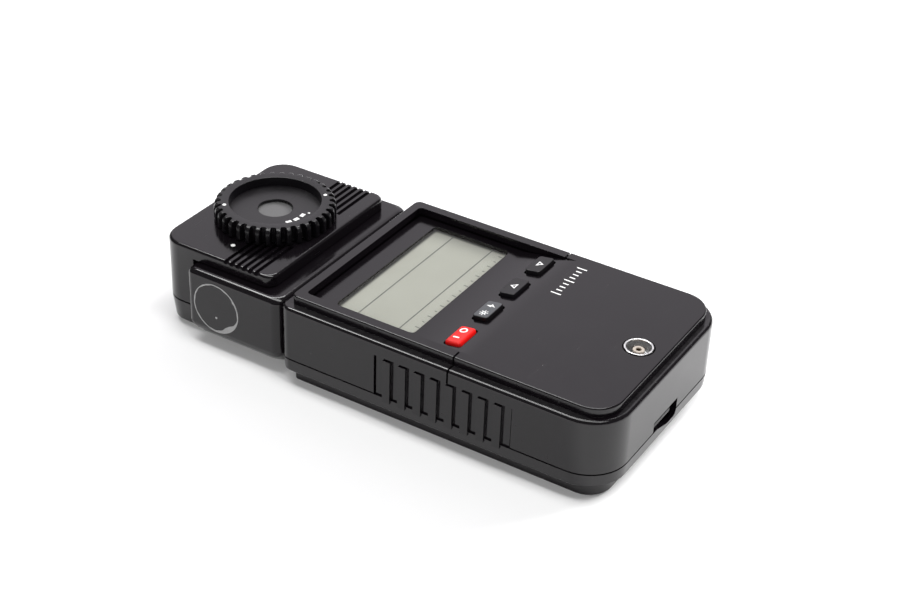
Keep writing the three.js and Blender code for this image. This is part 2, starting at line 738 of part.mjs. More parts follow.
function receptorRing() {
  const slope = ringTipRadius - ringFaceRadius
  const body = loft(toothOutline, [[ringBottom, 0], ...roundEdge(ringTop, slope, 3)])
  const cup = turned(0, 0, [[0, cupFloor], [ringCupRadius - 0.4, cupFloor], [ringCupRadius, ringTop + 1],
    [0, ringTop + 1]], 40)
  const underside = disc(0, 0, undersideRadius, ringBottom - 1, cupFloor - 0.6, 32)
  const aperture = disc(0, 0, apertureRadius, 20, 40, 24)
  const lugs = lugCentres.map(angle =>
    ringSegment(11.6, 12.6, angle, lugSpread, ringBottom, ringBottom + 0.35))
  return join(cut(body, cup, underside, aperture), ...lugs)
}
const receptorDisc = () => disc(0, 0, discRadius, discLow, discHigh, 24)
function bayonetMount() {
  const base = washer(0, 0, 8, 11.2, ringBottom, ringBottom + 1)
  const lugs = lugCentres.map(angle =>
    ringSegment(11, 11.9, angle, lugSpread, ringBottom + 0.65, ringBottom + 1))
  return join(base, ...lugs)
}

// ---- assembly ----
const meter = new THREE.Group()
meter.position.x = bodyStart

const body = new THREE.Group()
body.add(
  mesh('display_housing', displayHousing(), blackCase),
  mesh('front_cover', frontCover(), blackCase),
  mesh('rear_housing', rearHousing(), blackCase),
  mesh('battery_door', batteryDoor(), blackCase),
  mesh('door_latch', doorLatch(), blackKey),
  mesh('display_window', prism(
    roundedOutline(windowStart + gap, windowEnd - gap, windowHalfWidth - gap, windowRadius - gap,
      windowRadius - gap), windowLow, windowHigh),
  finish(0xdfe6e4, 0.05)),
  mesh('lcd_panel', box(lcdStart, lcdEnd, -lcdHalfWidth, lcdHalfWidth, lcdLow, lcdHigh), finish(0xb9bab0, 0.4)),
  mesh('main_board', mainBoard(), boardGreen),
  mesh('key_mat', keyMat(), rubberGrey),
  mesh('measure_button', measureButton(), blackKey),
  mesh('mode_switch', modeSwitch(), blackKey),
  mesh('measure_switch', switchBody(18.5, 23.5), switchBlack),
  mesh('selector_switch', switchBody(33, 47), switchBlack),
  mesh('battery_cell', batteryCell(), finish(0x8b8f92, 0.35, 0.6)),
  mesh('battery_spring', batterySpring(), steel),
  mesh('battery_minus_plate', contactPlate(-cellLength / 2 - springRoom), steel),
  mesh('battery_plus_plate', contactPlate(cellLength / 2 + 0.8), steel),
  mesh('sync_shell', syncShell(), steel),
  mesh('sync_insulator', syncInsulator(), cream),
  mesh('sync_contact', syncContact(), brass),
  mesh('swivel_washer', swivelWave(), steel),
  mesh('wire_plug', wirePlug(), cream)
)
for (const [i, x] of [12, 34.6].entries()) {
  body.add(mesh(`display_connector_${i + 1}`, box(x - 1.2, x + 1.2, -22, 22, boardTop + gap, 20.3), rubberGrey))
}
for (const [i, [x, y]] of screwPlaces.entries()) {
  body.add(mesh(`body_screw_${i + 1}`, machineScrew(x, y, screwSeat - gap, 12), steel))
}

const keyRow = new THREE.Group()
keyRow.position.set(keyRowX, 0, keyRowHeight)
keyRow.rotation.y = -rampAngle
const keyLooks = [finish(0xd1342c, 0.35), finish(0x63676d, 0.4), blackKey, blackKey]
const keyNames = ['key_power', 'key_mode', 'key_up', 'key_down']
keyNames.forEach((name, i) => {
  const key = mesh(name, keyCap(), keyLooks[i])
  key.position.y = (i - 1.5) * keyPitch
  keyRow.add(key)
})
body.add(keyRow)

const head = new THREE.Group()
head.add(
  mesh('head_front_shell', headFrontShell(), blackCase),
  mesh('head_rear_shell', headRearShell(), blackCase),
  mesh('swivel_block', swivelBlock(), blackCase),
  mesh('swivel_tube', swivelTube(), finish(0x2b2b2e, 0.5)),
  mesh('swivel_clip', swivelClip(), steel),
  mesh('head_wires', headWires(), finish(0x3a3a3a, 0.7)),
  mesh('sensor_board', sensorBoard(), boardGreen),
  mesh('photocell', photocell(), finish(0x3b3f55, 0.2)),
  mesh('colour_filter', colourFilter(), finish(0x4f7f8a, 0.1)),
  mesh('light_tube', lightTube(), finish(0x101011, 0.8))
)
for (const [i, [x, y]] of headBossPlaces.entries()) {
  head.add(mesh(`head_screw_${i + 1}`, machineScrew(x, y, headBottom + screwSeat - gap, 12), steel))
}

const receptor = new THREE.Group()
receptor.position.x = receptorX
receptor.add(
  mesh('bayonet_mount', bayonetMount(), finish(0x222224, 0.5)),
  mesh('receptor_ring', receptorRing(), blackKey),
  mesh('receptor_disc', receptorDisc(), finish(0x8a8b8c, 0.6))
)
head.add(receptor)

meter.add(body, head)
export default meter
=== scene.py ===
"""The looks of the handheld light meter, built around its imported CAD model. Metres, +Z up."""

import math

import bpy
from mathutils import Matrix, Vector


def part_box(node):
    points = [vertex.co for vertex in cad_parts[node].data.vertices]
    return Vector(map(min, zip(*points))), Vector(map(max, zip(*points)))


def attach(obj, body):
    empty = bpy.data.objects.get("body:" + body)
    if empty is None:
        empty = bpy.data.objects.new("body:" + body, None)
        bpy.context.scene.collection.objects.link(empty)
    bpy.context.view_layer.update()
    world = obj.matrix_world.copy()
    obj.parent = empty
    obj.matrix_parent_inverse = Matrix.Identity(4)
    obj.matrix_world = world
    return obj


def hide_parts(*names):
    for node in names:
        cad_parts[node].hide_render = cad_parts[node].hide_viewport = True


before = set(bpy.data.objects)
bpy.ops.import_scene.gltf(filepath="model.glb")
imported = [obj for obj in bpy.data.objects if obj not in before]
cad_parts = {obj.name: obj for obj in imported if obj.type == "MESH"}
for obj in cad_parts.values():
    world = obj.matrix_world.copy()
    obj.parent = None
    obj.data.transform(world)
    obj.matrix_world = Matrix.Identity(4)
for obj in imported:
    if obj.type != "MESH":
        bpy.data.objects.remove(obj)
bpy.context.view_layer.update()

MM = 0.001
TURN = 2 * math.pi

# ---- places, worked out from the frame ----
case_low, case_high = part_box("rear_housing")
deck_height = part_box("front_cover")[1].z
ring_low, ring_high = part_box("receptor_ring")
ring_centre = (ring_low + ring_high) / 2
block_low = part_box("swivel_block")[0]
lcd_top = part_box("lcd_panel")[1].z
sync_low, sync_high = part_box("sync_shell")
sync_centre = (sync_low + sync_high) / 2


# ---- materials ----
class Shader:
    """A node material: its Principled shader, and short calls that add and link nodes."""

    def __init__(self, name, colour, roughness, metallic=0.0):
        self.material = bpy.data.materials.new(name)
        self.material.use_nodes = True
        self.tree = self.material.node_tree
        self.surface = self.tree.nodes["Principled BSDF"]
        self.set("Base Color", (*colour, 1))
        self.set("Roughness", roughness)
        self.set("Metallic", metallic)
        self.set("IOR", 1.46)
        self.position = self.add("ShaderNodeTexCoord").outputs["Object"]

    def add(self, kind, **settings):
        node = self.tree.nodes.new(kind)
        for key, value in settings.items():
            setattr(node, key, value)
        return node

    def link(self, source, target):
        self.tree.links.new(source, target)

    def set(self, socket, value):
        self.surface.inputs[socket].default_value = value

    def math(self, operation, *sources):
        """The result of a sum on one or two sockets."""
        node = self.add("ShaderNodeMath", operation=operation)
        for source, socket in zip(sources, node.inputs):
            self.link(source, socket)
        return node.outputs["Value"]

    def above(self, source, limit):
        """1 where the source is above the limit, and 0 elsewhere."""
        node = self.add("ShaderNodeMath", operation="GREATER_THAN")
        self.link(source, node.inputs[0])
        node.inputs[1].default_value = limit
        return node.outputs["Value"]

    def axes(self):
        """The X, Y and Z sockets of the place on the object."""
        split = self.add("ShaderNodeSeparateXYZ")
        self.link(self.position, split.inputs["Vector"])
        return split.outputs

    def scaled(self, size):
        """Object coordinates stretched by a factor along each axis."""
        mapping = self.add("ShaderNodeMapping")
        mapping.inputs["Scale"].default_value = size
        self.link(self.position, mapping.inputs["Vector"])
        return mapping.outputs["Vector"]

    def noise(self, grain, detail=3.0, stretch=None):
        """Noise whose features are about grain metres across."""
        node = self.add("ShaderNodeTexNoise")
        node.inputs["Scale"].default_value = 1 / grain
        node.inputs["Detail"].default_value = detail
        source = self.scaled(stretch) if stretch else self.position
        self.link(source, node.inputs["Vector"])
        return node.outputs["Fac"]

    def ramp(self, source, *stops):
        """A ramp of (place, value) stops, where a value is a grey or a colour."""
        node = self.add("ShaderNodeValToRGB")
        elements = node.color_ramp.elements
        while len(elements) < len(stops):
            elements.new(0.5)
        for element, (place, value) in zip(elements, stops):
            element.position = place
            element.color = (value, value, value, 1) if isinstance(value, float) else (*value, 1)
        self.link(source, node.inputs["Fac"])
        return node.outputs["Color"]

    def specks(self, spacing, size, share):
        """A mask of tiny round specks: how far apart, how big, and the share of cells with one."""
        cells = self.add("ShaderNodeTexVoronoi")
        cells.inputs["Scale"].default_value = 1 / spacing
        self.link(self.position, cells.inputs["Vector"])
        dots = self.ramp(cells.outputs["Distance"], (size * 0.6, 1.0), (size, 0.0))
        channel = self.add("ShaderNodeSeparateColor")
        self.link(cells.outputs["Color"], channel.inputs["Color"])
        return self.math("MULTIPLY", dots, self.above(channel.outputs["Red"], 1 - share))

    def colour(self, mask, clean, marked):
        """The base colour, going from clean to marked where the mask is 1."""
        mix = self.add("ShaderNodeMix", data_type="RGBA")
        self.link(mask, mix.inputs["Factor"])
        mix.inputs["A"].default_value = (*clean, 1)
        mix.inputs["B"].default_value = (*marked, 1)
        self.link(mix.outputs["Result"], self.surface.inputs["Base Color"])
        return mix

    def bump(self, height, depth, strength=1.0):
        node = self.add("ShaderNodeBump")
        node.inputs["Distance"].default_value = depth
        node.inputs["Strength"].default_value = strength
        self.link(height, node.inputs["Height"])
        self.link(node.outputs["Normal"], self.surface.inputs["Normal"])
        return node


DECK_STEP = 2.4 * MM
LEDGE_HEIGHT = deck_height - DECK_STEP
LEDGE_SIDE_WIDTH = 2.55 * MM
LEDGE_FOOT_WIDTH = 2.0 * MM


def settled_dust(shader, amount):
    """A mask of the dust on the narrow ledge round the deck."""
    place = shader.axes()
    from_middle = shader.math("ABSOLUTE", place["Y"])
    ledge = shader.math("MAXIMUM", shader.above(from_middle, case_high.y - LEDGE_SIDE_WIDTH),
                        shader.above(place["X"], case_high.x - LEDGE_FOOT_WIDTH))
    level = shader.math("MULTIPLY", ledge, shader.above(place["Z"], LEDGE_HEIGHT - 0.1 * MM))
    patches = shader.ramp(shader.noise(1.5 * MM, 5), (0.3, amount * 0.4), (0.7, amount))
    return shader.math("MULTIPLY", level, patches)


PLASTIC_GRAIN = 0.09 * MM
DUST_LIFT = 0.22


def moulded_plastic(name, colour, smooth, rough, dust=0.02, gloss=0.5, settled=0.0):
    """Satin moulded plastic: fine spark texture, uneven sheen, handling marks and dust.

    Its roughness runs from smooth to rough. The dust is the share of specks, and settled is how
    much lies on the ledge."""
    shader = Shader(name, colour, rough)
    shader.set("Specular IOR Level", gloss)
    patches = shader.noise(7 * MM, 4)
    sheen = shader.ramp(patches, (0.32, smooth), (0.72, rough))
    strokes = shader.noise(1.6 * MM, 6, stretch=(1, 0.12, 1))
    scuffs = shader.ramp(strokes, (0.66, 0.0), (0.74, 0.16))
    shader.link(shader.math("ADD", sheen, scuffs), shader.surface.inputs["Roughness"])
    specks = shader.specks(2.6 * MM, 0.045, dust)
    if settled:
        specks = shader.math("MAXIMUM", specks, settled_dust(shader, settled))
    lighter = tuple(min(1.0, c + DUST_LIFT) for c in colour)
    shader.colour(specks, colour, lighter)
    shader.bump(shader.noise(PLASTIC_GRAIN, 2), 0.004 * MM, 0.25)
    return shader.material


def metal(name, colour, roughness):
    """Plated or turned metal with fine tool marks and slight tarnish."""
    shader = Shader(name, colour, roughness, metallic=1.0)
    cloud = shader.noise(0.9 * MM, 4)
    tarnish = shader.ramp(cloud, (0.35, roughness * 0.7), (0.8, roughness * 1.7))
    shader.link(tarnish, shader.surface.inputs["Roughness"])
    shader.colour(shader.ramp(shader.noise(1.2 * MM, 5), (0.55, 0.0), (0.85, 0.5)), colour,
                  tuple(c * 0.6 for c in colour))
    shader.bump(shader.noise(0.06 * MM, 2, stretch=(1, 1, 0.1)), 0.003 * MM, 0.5)
    return shader.material


def window_glass(name):
    """Thin clear plastic: it lets the display show through and adds only its own gloss."""
    shader = Shader(name, (0, 0, 0), 0.08)
    tree = shader.tree
    clear = shader.add("ShaderNodeBsdfTransparent")
    clear.inputs["Color"].default_value = (0.94, 0.95, 0.94, 1)
    gloss = shader.add("ShaderNodeBsdfGlossy")
    gloss.inputs["Roughness"].default_value = 0.06
    slant = shader.add("ShaderNodeLayerWeight")
    steep = shader.add("ShaderNodeMath", operation="POWER")
    shader.link(slant.outputs["Facing"], steep.inputs[0])
    steep.inputs[1].default_value = 5
    reflected = shader.add("ShaderNodeMath", operation="MULTIPLY_ADD")
    shader.link(steep.outputs["Value"], reflected.inputs[0])
    reflected.inputs[1].default_value = 0.8
    reflected.inputs[2].default_value = 0.025
    mix = shader.add("ShaderNodeMixShader")
    shader.link(reflected.outputs["Value"], mix.inputs["Fac"])
    shader.link(clear.outputs["BSDF"], mix.inputs[1])
    shader.link(gloss.outputs["BSDF"], mix.inputs[2])
    shader.link(mix.outputs["Shader"], tree.nodes["Material Output"].inputs["Surface"])
    return shader.material


def display_grey(name):
    """A liquid-crystal display's backing: fine sparkle, and painted shade by two of the window's
    edges, darker there as if the window's walls shaded it.
    """
    grey, lighter = (0.352, 0.344, 0.303), (0.38, 0.371, 0.33)
    shader = Shader(name, grey, 0.55)
    mottle = shader.ramp(shader.noise(9 * MM, 2), (0.3, grey), (0.75, lighter))
    place = shader.axes()
    low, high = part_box("display_window")
    painted_shades = []
    # Painted shade: the colour goes to near black towards the window's -X and +Y edges, standing in
    # for the walls' shadow on the backing.
    for axis, dark, clear in (("X", low.x - 0.4 * MM, low.x + 0.85 * MM),
                              ("Y", high.y + 0.3 * MM, high.y - 0.9 * MM)):
        painted_shade = shader.add("ShaderNodeMapRange", interpolation_type="SMOOTHSTEP")
        shader.link(place[axis], painted_shade.inputs["Value"])
        painted_shade.inputs["From Min"].default_value = dark
        painted_shade.inputs["From Max"].default_value = clear
        painted_shades.append(painted_shade.outputs["Result"])
    mix = shader.add("ShaderNodeMix", data_type="RGBA")
    shader.link(shader.math("MULTIPLY", *painted_shades), mix.inputs["Factor"])
    mix.inputs["A"].default_value = (0.035, 0.034, 0.03, 1)
    shader.link(mottle, mix.inputs["B"])
    shader.link(mix.outputs["Result"], shader.surface.inputs["Base Color"])
    shader.bump(shader.noise(0.12 * MM, 2), 0.003 * MM, 0.25)
    return shader.material


def white_ink(name, colour=(0.86, 0.86, 0.85)):
    """Screen-printed ink with slightly uneven cover."""
    shader = Shader(name, colour, 0.55)
    worn = tuple(c * 0.72 for c in colour)
    shader.colour(shader.ramp(shader.noise(0.35 * MM, 4), (0.5, 0.0), (0.8, 1.0)), colour, worn)
    shader.bump(shader.noise(0.15 * MM, 2), 0.006 * MM, 0.5)
    return shader.material


case_black = moulded_plastic("case_black", (0.0036, 0.0027, 0.0037), 0.12, 0.19, dust=0.05,
                             settled=0.07)
key_black = moulded_plastic("key_black", (0.0036, 0.003, 0.0038), 0.38, 0.48)
key_red = moulded_plastic("key_red", (0.62, 0.004, 0.003), 0.55, 0.65, dust=0.0)
key_grey = moulded_plastic("key_grey", (0.06, 0.064, 0.07), 0.34, 0.46, dust=0.01)
matt_black = moulded_plastic("matt_black", (0.006, 0.006, 0.0065), 0.5, 0.65, dust=0.01)
ring_black = moulded_plastic("ring_black", (0.003, 0.0026, 0.0034), 0.26, 0.35, dust=0.01,
                             gloss=0.48)
cup_black = moulded_plastic("cup_black", (0.0045, 0.0038, 0.0048), 0.3, 0.38, dust=0.02)
pale_disc = moulded_plastic("pale_disc", (0.1, 0.1, 0.1), 0.3, 0.45, dust=0.0)
cream = moulded_plastic("cream", (0.4, 0.35, 0.3), 0.4, 0.5, dust=0.0)
board_green = moulded_plastic("board_green", (0.012, 0.11, 0.04), 0.3, 0.45, dust=0.01)
rubber_grey = moulded_plastic("rubber_grey", (0.08, 0.085, 0.09), 0.6, 0.75)
cell_jacket = metal("cell_jacket", (0.3, 0.31, 0.32), 0.3)
steel = metal("steel", (0.62, 0.62, 0.63), 0.26)
chrome = metal("chrome", (0.6, 0.6, 0.6), 0.34)
brass = metal("brass", (0.1, 0.075, 0.045), 0.35)
filter_glass = moulded_plastic("filter_glass", (0.1, 0.2, 0.22), 0.08, 0.14, dust=0.0)
photocell_blue = moulded_plastic("photocell_blue", (0.03, 0.035, 0.08), 0.12, 0.2, dust=0.0)
window_clear = window_glass("window_clear")
lcd_grey = display_grey("lcd_grey")
ink_white = white_ink("ink_white")
ink_lcd = white_ink("ink_lcd", (0.085, 0.085, 0.08))
residue = white_ink("residue", (0.24, 0.24, 0.24))


# ---- CAD nodes that stay: soft edges and their materials ----
def soften(node, width, angle=28):
    """Rounds a CAD node's edges with modifiers, so that each catches a thin line of light."""
    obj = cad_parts[node]
    obj.data.shade_smooth()
    weld = obj.modifiers.new("weld", "WELD")
    weld.merge_threshold = 1e-6
    flat = obj.modifiers.new("flat", "DECIMATE")
    flat.decimate_type = "DISSOLVE"
    flat.angle_limit = math.radians(0.5)
    bevel = obj.modifiers.new("bevel", "BEVEL")
    bevel.width = width
    bevel.segments = 3
    bevel.limit_method = "ANGLE"
    bevel.angle_limit = math.radians(angle)
    bevel.miter_outer = "MITER_ARC"
    normals = obj.modifiers.new("normals", "WEIGHTED_NORMAL")
    normals.keep_sharp = True
    normals.weight = 100


def paint(material, *nodes):
    for node in nodes:
        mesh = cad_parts[node].data
        mesh.materials.clear()
        mesh.materials.append(material)


TURNED_ANGLE = 40
SCREWS = [f"body_screw_{i}" for i in range(1, 5)] + ["head_screw_1", "head_screw_2"]
for node in ("display_housing", "front_cover", "rear_housing", "head_rear_shell", "swivel_block"):
    soften(node, 0.3 * MM)
soften("head_front_shell", 0.22 * MM)
for node in ("battery_door", "door_latch", "measure_button", "mode_switch"):
    soften(node, 0.25 * MM)
for node in SCREWS:
    soften(node, 0.08 * MM, TURNED_ANGLE)
for node in ("battery_cell", "swivel_tube", "receptor_disc", "swivel_clip", "swivel_washer"):
    soften(node, 0.1 * MM, TURNED_ANGLE)

paint(case_black, "display_housing", "front_cover", "rear_housing", "battery_door",
      "head_front_shell", "head_rear_shell", "swivel_block")
paint(key_black, "door_latch", "measure_button", "mode_switch", "measure_switch", "selector_switch")
paint(window_clear, "display_window")
paint(board_green, "main_board", "sensor_board")
paint(rubber_grey, "key_mat", "display_connector_1", "display_connector_2", "head_wires")
paint(cell_jacket, "battery_cell")
paint(steel, "battery_spring", "battery_minus_plate", "battery_plus_plate", "swivel_washer",
      "swivel_clip", *SCREWS)
paint(cream, "wire_plug")
paint(matt_black, "swivel_tube", "light_tube", "bayonet_mount")
paint(photocell_blue, "photocell")
paint(filter_glass, "colour_filter")
paint(pale_disc, "receptor_disc")


# ---- mesh helpers ----
def piece(name, points, faces, material, body, smooth=True):
    """A new mesh object that rides on a body and takes its finish from a slot."""
    mesh = bpy.data.meshes.new(name)
    mesh.from_pydata([tuple(p) for p in points], [], faces)
    mesh.materials.append(material)
    if smooth:
        mesh.shade_smooth()
    mesh.update()
    obj = bpy.data.objects.new(name, mesh)
    bpy.context.scene.collection.objects.link(obj)
    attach(obj, body)
    return obj


def bridge(rings, closed=False):
    """Quads between rings of equal length, each ring a closed loop of points."""
    count = len(rings[0])
    points = [p for ring in rings for p in ring]
    faces = []
    for level in range(len(rings) if closed else len(rings) - 1):
        above = (level + 1) % len(rings)
        for i in range(count):
            j = (i + 1) % count
            faces.append((level * count + i, level * count + j,
                          above * count + j, above * count + i))
    if not closed:
        faces.append(tuple(reversed(range(count))))
        faces.append(tuple(range((len(rings) - 1) * count, len(rings) * count)))
    return points, faces


def fillet(corner_radius, corner_height, radius, steps=5):
    """(radius, height) points of a quarter round, from the side up and over to the top."""
    stops = [i / steps * TURN / 4 for i in range(steps + 1)]
    return [(corner_radius - radius * (1 - math.cos(a)), corner_height - radius * (1 - math.sin(a)))
            for a in stops]


def lathe(name, centre, profile, material, body, steps=96):
    """A turned piece from a closed profile of (radius, height)."""
    rings = []
    for radius, height in profile:
        rings.append([Vector((centre.x + radius * math.cos(i / steps * TURN),
                              centre.y + radius * math.sin(i / steps * TURN), height))
                      for i in range(steps)])
    points, faces = bridge(rings, closed=True)
    return piece(name, points, faces, material, body)


def sharpen(obj, angle=32):
    """Splits the shading at edges sharper than the angle."""
    obj.data.set_sharp_from_angle(angle=math.radians(angle))
    return obj


# ---- receptor ring ----
TEETH = 36
TOOTH_TIP = (ring_high.x - ring_low.x) / 2
TOOTH_ROOT = TOOTH_TIP - 1.9 * MM
FACE_RADIUS = TOOTH_TIP - 1.4 * MM
CUP_RADIUS = 12.45 * MM
CUP_FLOOR = ring_high.z - 2.5 * MM
CUP_THICKNESS = 0.6 * MM
UNDERSIDE_RADIUS = 12.2 * MM
APERTURE = 4.68 * MM
PLATE_PROUD = 0.03 * MM


def tooth_shape(angle):
    """1 on a tooth's crest and 0 in a gap, with steep round flanks."""
    sharpness = 4.2
    return 0.5 + 0.5 * math.tanh(sharpness * math.cos(TEETH * angle)) / math.tanh(sharpness)


def ring_levels():
    """(crest radius, gap radius, height) from the foot of the teeth to the ring's face."""
    bottom, top = ring_low.z, ring_high.z
    levels = [(TOOTH_TIP - 0.25 * MM, TOOTH_ROOT - 0.2 * MM, bottom),
              (TOOTH_TIP, TOOTH_ROOT, bottom + 0.25 * MM)]
    slope, drop, steps = TOOTH_TIP - FACE_RADIUS, 1.7 * MM, 8
    for i in range(steps + 1):
        angle = i / steps * TURN / 4
        crest = FACE_RADIUS + slope * math.cos(angle)
        gap = min(TOOTH_ROOT, crest - 0.1 * MM)
        levels.append((crest, gap, top - drop * (1 - math.sin(angle))))
    levels.append((FACE_RADIUS - 0.3 * MM, TOOTH_ROOT - 0.15 * MM, top))
    return levels


def receptor_ring():
    """The toothed ring with its cup, which stands for the CAD ring."""
    steps = TEETH * 16
    bottom, top = ring_low.z, ring_high.z
    stops = [i / steps * TURN for i in range(steps)]
    rings = []
    for crest, gap, z in ring_levels():
        radii = [gap + (crest - gap) * tooth_shape(angle) for angle in stops]
        rings.append([(r * math.cos(angle), r * math.sin(angle), z)
                      for r, angle in zip(radii, stops)])
    lip = [(2 * CUP_RADIUS - r, z) for r, z in reversed(fillet(CUP_RADIUS, top, 0.15 * MM, 3))]
    inner = lip + [(CUP_RADIUS - 0.15 * MM, CUP_FLOOR), (APERTURE + 0.1 * MM, CUP_FLOOR)]
    inner += [(APERTURE, CUP_FLOOR - 0.1 * MM), (APERTURE, CUP_FLOOR - CUP_THICKNESS),
              (UNDERSIDE_RADIUS, CUP_FLOOR - CUP_THICKNESS), (UNDERSIDE_RADIUS, bottom)]
    for radius, z in inner:
        rings.append([(radius * math.cos(angle), radius * math.sin(angle), z) for angle in stops])
    points, faces = bridge(rings, closed=True)
    centre = Vector((ring_centre.x, ring_centre.y, 0))
    obj = piece("receptor_ring_detail", [Vector(p) + centre for p in points], faces, ring_black,
                "receptor")
    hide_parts("receptor_ring")
    return sharpen(obj, 40)


receptor_ring()


def cup_plate():
    """The satin plate round the sensor window, which the ring's cup carries."""
    inner, outer = APERTURE + 0.12 * MM, CUP_RADIUS - 0.17 * MM
    low, high = CUP_FLOOR - 0.05 * MM, CUP_FLOOR + PLATE_PROUD
    profile = [(inner, low), (outer, low), (outer, high), (inner, high)]
    plate = lathe("receptor_cup_plate", ring_centre, profile, cup_black, "receptor",
                  128)
    sharpen(plate)


cup_plate()


# ---- keys ----
RAMP_RUN = 15.4 * MM
KEY_MATRIX = Matrix.Rotation(-math.atan2(DECK_STEP, RAMP_RUN), 4, "Y")


def rounded_rectangle(half_x, half_y, radius, steps=8):
    """An outline of (x, y) points about the origin."""
    points = []
    for turn, (sx, sy) in enumerate(((1, 1), (-1, 1), (-1, -1), (1, -1))):
        for i in range(steps + 1):
            angle = (turn + i / steps) * TURN / 4
            points.append((sx * (half_x - radius) + radius * math.cos(angle),
                           sy * (half_y - radius) + radius * math.sin(angle)))
    return points


def key_place(node):
    """The matrix from a key's own frame, whose origin is the middle of its top, to the part's."""
    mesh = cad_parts[node].data
    back = KEY_MATRIX.inverted()
    corners = [back @ v.co for v in mesh.vertices]
    top = max(c.z for c in corners)
    x = (max(c.x for c in corners) + min(c.x for c in corners)) / 2
    y = (max(c.y for c in corners) + min(c.y for c in corners)) / 2
    return KEY_MATRIX @ Matrix.Translation((x, y, top))


KEY_HALF_LENGTH = 2.25 * MM
KEY_HALF_WIDTH = 4.1 * MM
KEY_CORNER = 0.8 * MM
KEY_DEPTH = 3.6 * MM


def key_cap(node, material, edge, crown):
    """A cap over the CAD key: edge is its top edge's round, and crown is its dome's height."""
    place = key_place(node)
    rings = []

    def ring(inset, corner, z):
        rings.append([(x, y, z) for x, y in rounded_rectangle(
            KEY_HALF_LENGTH - inset, KEY_HALF_WIDTH - inset, corner)])

    ring(0, KEY_CORNER, -KEY_DEPTH)
    steps = 5
    for i in range(steps + 1):
        angle = i / steps * TURN / 4
        inset = edge * (1 - math.cos(angle))
        corner = max(KEY_CORNER - inset * 0.6, 0.25 * MM)
        ring(inset, corner, edge * (math.sin(angle) - 1) - crown)
    last = rings[-1]
    for share in (0.8, 0.55, 0.3, 0.08):
        rings.append([(x * share, y * share, -crown * share * share) for x, y, _ in last])
    points, faces = bridge(rings)
    obj = piece(node + "_cap", [place @ Vector(p) for p in points], faces, material, node)
    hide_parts(node)
    return sharpen(obj, 40)


key_cap("key_power", key_red, 0.75 * MM, 0.14 * MM)
for key, slot in (("key_mode", "key_grey"), ("key_up", "key_black"), ("key_down", "key_black")):
    key_cap(key, key_black, 0.22 * MM, 0.0)


# ---- printed marks: thin solids that stand a hair above the face they are on ----
INK = 0.03 * MM


def mark(name, outline, place, material, body, height=INK, sunk=0.1 * MM):
    """A thin plate from an outline drawn in the place's X and Y."""
    low = [place @ Vector((x, y, -sunk)) for x, y in outline]
    high = [place @ Vector((x, y, height)) for x, y in outline]
    points, faces = bridge([low, high])
    return piece(name, points, faces, material, body, smooth=False)


def frame_mark(name, outer, inner, place, material, body, height=INK, sunk=0.1 * MM):
    """As mark, with a hole: both outlines have the same number of points."""
    rings = [[place @ Vector((x, y, z)) for x, y in outline] for outline, z in (
        (outer, -sunk), (outer, height), (inner, height), (inner, -sunk))]
    points, faces = bridge(rings, closed=True)
    return piece(name, points, faces, material, body, smooth=False)


def circle(radius, steps=32, centre=(0, 0)):
    """A circle's outline."""
    return [(centre[0] + radius * math.cos(i / steps * TURN),
             centre[1] + radius * math.sin(i / steps * TURN)) for i in range(steps)]


def bar(half_x, half_y, x=0.0, y=0.0):
    """A rectangle's outline about (x, y)."""
    return [(x - half_x, y - half_y), (x + half_x, y - half_y),
            (x + half_x, y + half_y), (x - half_x, y + half_y)]


def ring_mark(name, outer, inner, steps, centre, place, material, body, height=INK):
    """A round band between two radii."""
    frame_mark(name, circle(outer, steps, centre), circle(inner, steps, centre), place, material,
               body, height)


def triangle(size, direction):
    """An outline pointing along -X (direction -1) or +X (direction 1)."""
    point, back = direction * size * 0.72, -direction * size * 0.36
    return [(point, 0), (back, point), (back, -point)]


ARROW_OUTER = 1.65 * MM
ARROW_INNER = 0.84 * MM
LINE_Y = -1.925 * MM
CIRCLE_Y = 1.6 * MM
SUN_Y = -2.0 * MM
SUN_RAYS = 8
BOLT = [(-1.4, 1.75), (0.15, 1.1), (0.1, 1.7), (1.4, 1.15), (-0.2, 2.7), (-0.1, 2.05)]


def key_marks():
    """Open arrows on two keys, a line and a circle on one, and a sun and a bolt on the other."""
    for node, direction in (("key_up", -1), ("key_down", 1)):
        frame_mark(node + "_arrow", triangle(ARROW_OUTER, direction),
                   triangle(ARROW_INNER, direction), key_place(node), ink_white, node)
    power = key_place("key_power")
    mark("key_power_line", bar(0.85 * MM, 0.225 * MM, 0, LINE_Y), power, ink_white,
         "key_power")
    ring_mark("key_power_circle", 1.05 * MM, 0.66 * MM, 32, (0, CIRCLE_Y), power, ink_white,
              "key_power")
    mode = key_place("key_mode")
    face = rounded_rectangle(KEY_HALF_LENGTH - 0.2 * MM, KEY_HALF_WIDTH - 0.2 * MM, 0.75 * MM)
    mark("key_mode_face", face, mode, key_grey, "key_mode")
    top = 2 * INK
    ring_mark("key_mode_sun", 0.62 * MM, 0.3 * MM, 24, (0, SUN_Y), mode, ink_white,
              "key_mode", top)
    for i in range(SUN_RAYS):
        ray = (mode @ Matrix.Translation((0, SUN_Y, 0))
               @ Matrix.Rotation(i / SUN_RAYS * TURN, 4, "Z"))
        mark(f"key_mode_ray_{i + 1}", bar(0.2 * MM, 0.12 * MM, 1.0 * MM), ray, ink_white,
             "key_mode", height=top)
    mark("key_mode_bolt", [(x * MM, y * MM) for x, y in reversed(BOLT)], mode, ink_white,
         "key_mode", height=top)


key_marks()


DOT_CIRCLE = 13.7 * MM
HEAD_DOT_Y = -18.8 * MM
BUTTON_RIM_OUTER, BUTTON_RIM_INNER = 2.9 * MM, 2.55 * MM
BUTTON_RIM_PROUD = 0.22 * MM
RIB_PROUD = 0.3 * MM
CUP_BAR_CIRCLE, CUP_DOT_CIRCLE = 8.35 * MM, 9.5 * MM


